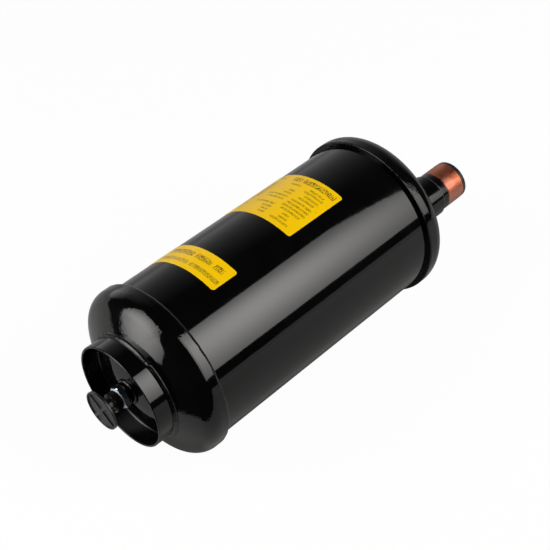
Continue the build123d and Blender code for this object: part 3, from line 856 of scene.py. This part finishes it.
# Weld beads: a bulging corner fill with crescent ripples, a slow wander in its height and grown-in waves
bead = {
    "rows": 18,
    "ripplePitch": 2.1 * mm,
    "rippleColumns": 8,
    "ripple": 0.02 * mm,
    "crescent": 2.4,
    "wander": 0.06 * mm,
    "waves": 26,
    "waveCounts": (3, 60),     # how often a wave goes up and down round a bead
    "waveLean": 1.5,
    "rippleWander": 0.8,
    # 1 is a quarter round, less is squarer
    "fullness": {"bottom_cap_weld": 1.0, "top_cap_weld": 0.25, "foot_ring_weld": 0.6, "oil_return_weld": 0.8,
                 "outlet_sleeve_weld": 1.3, "inlet_sleeve_weld": 1.3},
    "seed": {"bottom_cap_weld": 4, "top_cap_weld": 2, "foot_ring_weld": 8, "oil_return_weld": 9,
             "outlet_sleeve_weld": 11, "inlet_sleeve_weld": 12},
    "lengthShare": {"bottom_cap_weld": 0.9, "top_cap_weld": 0.3},      # how much of its length it keeps
    "belowSkirt": 0.25 * mm,
    # a lump of spatter on the foot ring's bead
    "lumpAngle": 64.0,
    "lumpHeight": 0.9 * mm,
    "lumpWidth": 1.3 * mm,
}


def ripples(across, around, count, seed):
    # ripples = crescents that repeat round the bead, moved by a sum of waves, plus those waves themselves
    random = np.random.default_rng(seed)
    order = random.integers(*bead["waveCounts"], bead["waves"])[:, None, None]
    phase = random.uniform(0, 2 * math.pi, bead["waves"])[:, None, None]
    lean = random.uniform(-bead["waveLean"], bead["waveLean"], bead["waves"])[:, None, None]
    wander = np.sin(order * around + phase + lean * across).sum(axis=0) / math.sqrt(bead["waves"] / 2)
    crescent = bead["crescent"] * (2 * across - 1) ** 2
    fine = np.sin(count * around + wander * bead["rippleWander"] - crescent)
    return bead["ripple"] * fine + bead["wander"] * wander


def spatter(around, across, radius, length):
    # lump = height e^-(distance / width)^2 round its angle, halfway across the bead
    aside = (around - math.radians(bead["lumpAngle"])) * radius / bead["lumpWidth"]
    past = (across - 0.5) * length / bead["lumpWidth"]
    return bead["lumpHeight"] * np.exp(-(aside ** 2 + past ** 2))


def weldBead(node, corner, toe, top, centre, finish=finishes["weld_paint"], lumpy=False):
    # corner, toe and top are (station, radius), each a number or one value for each angle
    # bead = corner + (toe - corner) cos^fullness + (top - corner) sin^fullness over a quarter turn
    fullness = bead["fullness"][node]
    radius = float(np.mean(corner[1]))
    count = round(2 * math.pi * radius / bead["ripplePitch"])
    columns = bead["rippleColumns"] * count
    around = np.linspace(0, 2 * math.pi, columns, endpoint=False)[None, :]
    across = np.linspace(0, 1, bead["rows"])[:, None]
    low = np.cos(across * math.pi / 2) ** fullness
    high = np.sin(across * math.pi / 2) ** fullness
    corner, toe, top = ([value(around) if callable(value) else value for value in place]
                        for place in (corner, toe, top))
    rise = [low * (toe[k] - corner[k]) + high * (top[k] - corner[k]) + 0 * around for k in (0, 1)]
    length = np.sqrt(rise[0] ** 2 + rise[1] ** 2)
    added = ripples(across, around, count, bead["seed"][node])
    if lumpy:
        added = added + spatter(around, across, radius, length)
    swell = 1 + added * np.sin(math.pi * across) / length
    x = np.concatenate([corner[0] + rise[0] * swell, corner[0] + 0 * around])
    out = np.concatenate([corner[1] + rise[1] * swell, corner[1] + 0 * around])
    dress(gridPiece(node + "Bead", aroundAxis(x, out, columns, centre)), finish, node)


def makeSkirtBead(node, skirtEdge, farEnd):
    toe = skirtEdge + (farEnd - skirtEdge) * bead["lengthShare"][node]
    weldBead(node, (skirtEdge, shellRadius), (toe, shellRadius),
             (skirtEdge, capRadius - bead["belowSkirt"]), (axisY, axisZ))


def makeRingBead(node, ring, **look):        # on the bottom cap, round a ring or tube on the vessel's axis
    apex = span("bottom_end_cap")[0]
    inner, outer = turnedPlace(ring)[2], turnedPlace(node)[2]
    weldBead(node, (apex + crownDrop(inner), inner), (apex + crownDrop(outer), outer),
             (span(node)[0], inner), (axisY, axisZ), **look)


def makeSleeveBead(node, sleeve):        # on the top cap, round a sleeve beside the vessel's axis
    apex = span("top_end_cap")[1]
    y, z, inner = turnedPlace(sleeve)
    outer = turnedPlace(node)[2]

    def onCrown(around, radius):        # the crown's station on a circle round the sleeve's axis
        side, up = y - radius * np.cos(around) - axisY, z + radius * np.sin(around) - axisZ
        return apex - crownDrop(np.hypot(side, up))

    weldBead(node, (lambda around: onCrown(around, inner), inner),
             (lambda around: onCrown(around, outer), outer),
             (lambda around: onCrown(around, inner) + (outer - inner), inner), (y, z))


def makeBeads():
    start, end = span("bottom_cap_weld")
    makeSkirtBead("bottom_cap_weld", start, end)
    start, end = span("top_cap_weld")
    makeSkirtBead("top_cap_weld", end, start)
    makeRingBead("foot_ring_weld", "foot_ring", finish=endWeldPaint, lumpy=True)
    makeRingBead("oil_return_weld", "oil_return_stub")
    makeSleeveBead("outlet_sleeve_weld", "outlet_sleeve")
    makeSleeveBead("inlet_sleeve_weld", "inlet_sleeve")


makeBeads()
print("weld beads made")


# Foot ring and oil return stub
stub = {"bore": 12.6 * mm, "rounding": 0.5 * mm, "columns": 128}


def makeFootRing():
    start, end = span("foot_ring")
    outer, soft = turnedPlace("foot_ring")[2], footRing["rounding"]
    inner = outer - footRing["wall"]
    seat, foot = span("bottom_end_cap")[0] + crownDrop(inner), inner - footRing["filletFoot"]
    shape = outline((seat, inner, footRing["paintFillet"]), (seat, foot, 0), (end, foot, 0), (end, outer, 0),
                    (start, outer, soft), (start, inner, soft))
    dress(turnedPiece("footRingBand", shape, footRing["columns"]), ringPaint, "foot_ring")


def makeStub():
    start, end = span("oil_return_stub")
    outer, bore, soft = turnedPlace("oil_return_stub")[2], stub["bore"] / 2, stub["rounding"]
    shape = outline((end, bore, 0), (end, outer, soft), (start, outer, soft), (start, bore, 0))
    piece = turnedPiece("oilReturnStubTube", shape, stub["columns"])
    dress(piece, finishes["black_paint"], "oil_return_stub")


def hexagon(angle, start, end):
    # its radius is half its width over the cosine of the angle from the middle of the nearest flat, and its
    # corners are turned down to a cone at both faces
    half = fitting["acrossFlats"] / 2
    face = half - fitting["faceInset"]
    turn = (angle + math.radians(fitting["angle"])) % (math.pi / 3) - math.pi / 6
    flat = half / np.cos(turn)
    slope = math.tan(math.radians(fitting["chamferAngle"]))
    edge = np.linspace(0, (half / math.cos(math.pi / 6) - face) * slope, fitting["chamferRows"])
    x = np.concatenate([end - edge, start + edge[::-1]])[:, None]
    fromFace = np.minimum(end - x, x - start)
    return x, np.minimum(flat, face + fromFace / slope)


def thread(angle, root, end, tip):
    # its radius falls and rises once for each pitch along X and each turn round it, up to the flare's cone
    x = np.linspace(root, end, fitting["threadRows"])[:, None]
    wave = np.abs((x / fitting["threadPitch"] + angle / (2 * math.pi)) % 1 * 2 - 1)
    runIn = np.clip((root - x) / fitting["threadRunIn"], 0, 1)
    groove = np.clip(wave * fitting["threadSlope"] - fitting["threadCrest"], 0, 1) * runIn
    cone = fitting["tipRadius"] + (x - tip) * fitting["coneSlope"]
    return x, np.minimum(fitting["threadRadius"] - fitting["threadDepth"] * groove, cone)


def makeFitting():
    tip, end = span("oil_return_fitting")
    hexEnd = end - fitting["spigotLength"]
    hexStart = hexEnd - fitting["hexHeight"]
    angle = np.linspace(0, 2 * math.pi, fitting["columns"], endpoint=False)[None, :]
    hexX, hexRadius = hexagon(angle, hexStart, hexEnd)
    threadX, threadRadius = thread(angle, hexStart, hexStart - fitting["threadLength"], tip)
    outer, bore = fitting["spigotRadius"], fitting["bore"]
    spigot = np.array([(end, bore), (end, outer), (hexEnd, outer)])
    mouth = np.array([(tip, fitting["tipRadius"]), (tip, bore)])
    level = np.ones_like(angle)
    x = np.concatenate([spigot[:, :1], hexX, threadX, mouth[:, :1]])
    radius = np.concatenate([spigot[:, 1:] * level, hexRadius, threadRadius, mouth[:, 1:] * level])
    points = aroundAxis(x * level, radius, fitting["columns"])
    piece = gridPiece("flareFitting", points, sharp=fitting["sharp"])
    dress(piece, finishes["zinc_steel"], "oil_return_fitting")


# Transport cap on the flare: the node's own form with its edges broken. Edges under flatAngle are taken out
# first, those over brokenAngle are broken, and those over sharp stay sharp
oilCap = {
    "edge": 0.25 * mm,
    "segments": 3,
    "merge": 0.002 * mm,
    "flatAngle": 0.5,
    "brokenAngle": 40.0,
    "sharp": 30.0,
}


def makeOilCap():
    mesh = nodes["oil_return_cap"].data.copy()
    mesh.name = "oilReturnPlasticCap"
    edit = bmesh.new()
    edit.from_mesh(mesh)
    bmesh.ops.remove_doubles(edit, verts=edit.verts, dist=oilCap["merge"])
    flat = math.radians(oilCap["flatAngle"])
    bmesh.ops.dissolve_limit(edit, angle_limit=flat, verts=edit.verts, edges=edit.edges)
    edit.to_mesh(mesh)
    edit.free()
    piece = bpy.data.objects.new(mesh.name, mesh)
    scene.collection.objects.link(piece)
    bevel = piece.modifiers.new("edge", "BEVEL")
    bevel.width, bevel.segments, bevel.limit_method = oilCap["edge"], oilCap["segments"], "ANGLE"
    bevel.angle_limit = math.radians(oilCap["brokenAngle"])
    applyModifiers(piece)
    closeMesh(piece.data, oilCap["sharp"])
    dress(piece, finishes["black_plastic"], "oil_return_cap")


makeFootRing()
makeStub()
makeFitting()
makeOilCap()
print("oil return end made")


# Tube connections: sleeve, copper tube swaged out to a socket, and the plug in it
connection = {
    "sleeveBore": 17.6 * mm,
    "sleeveRounding": 0.55 * mm,
    "boreRounding": 0.3 * mm,
    "tubeRadius": 17.5 * mm,
    "tubeBore": 16.3 * mm,
    "tubeRounding": 0.3 * mm,
    "socketBore": 17.55 * mm,
    "socketDepth": 25.0 * mm,
    "socketRounding": 0.5 * mm,
    "rimRounding": 0.35 * mm,
    "swageRounding": 1.0 * mm,
    "plugSpigot": 17.25 * mm,
    "plugWall": 1.6 * mm,
    "plugFlange": 4.0 * mm,
    "plugRounding": 0.4 * mm,
    "plugBackRounding": 0.3 * mm,
    "plugTipRounding": 0.6 * mm,
    "plugMouthRounding": 0.5 * mm,
    "plugFloorRounding": 0.8 * mm,
    "columns": 160,
}


# the tube and the plug stand on their sleeve's axis
def makeSleeve(side):
    node = side + "_sleeve"
    y, z, outer = turnedPlace(node)
    (start, end), bore = span(node), connection["sleeveBore"]
    shape = outline((start, bore, 0), (start, outer, 0), (end, outer, connection["sleeveRounding"]),
                    (end, bore, connection["boreRounding"]))
    dress(turnedPiece(side + "SleeveRing", shape, connection["columns"], (y, z)), sleevePaint, node)


def makeTube(side):
    node, sleeve = side + "_tube", side + "_sleeve"
    centre, outer = turnedPlace(sleeve)[:2], turnedPlace(node)[2]
    (start, rim), swageStart = span(node), span(sleeve)[1]
    inner, bore, socket = connection["tubeRadius"], connection["tubeBore"], connection["socketBore"]
    swage, floor = outer - inner, rim - connection["socketDepth"]
    soft, edge, inside = connection["swageRounding"], connection["rimRounding"], connection["socketRounding"]
    shape = outline(
        (start, bore, 0), (start, inner, connection["tubeRounding"]), (swageStart, inner, soft),
        (swageStart + swage, outer, soft), (rim, outer, edge), (rim, socket, edge), (floor, socket, inside),
        (floor - swage, bore, inside))
    dress(turnedPiece(side + "CopperTube", shape, connection["columns"], centre), finishes["copper"], node)


def makePlug(side):
    node = side + "_plug"
    centre, outer = turnedPlace(side + "_sleeve")[:2], turnedPlace(node)[2]
    (start, end), spigot, wall = span(node), connection["plugSpigot"], connection["plugWall"]
    seat, hollow, floor = end - connection["plugFlange"], spigot - wall, start + wall
    shape = outline(
        (start, 0, 0), (start, spigot, connection["plugTipRounding"]), (seat, spigot, 0),
        (seat, outer, connection["plugBackRounding"]), (end, outer, connection["plugRounding"]),
        (end, hollow, connection["plugMouthRounding"]), (floor, hollow, connection["plugFloorRounding"]),
        (floor, 0, 0))
    piece = turnedPiece(side + "PlasticPlug", shape, connection["columns"], centre, closed=False)
    dress(piece, finishes["black_plastic"], node)


for side in ("outlet", "inlet"):
    makeSleeve(side)
    makeTube(side)
    makePlug(side)
print("tube connections made")
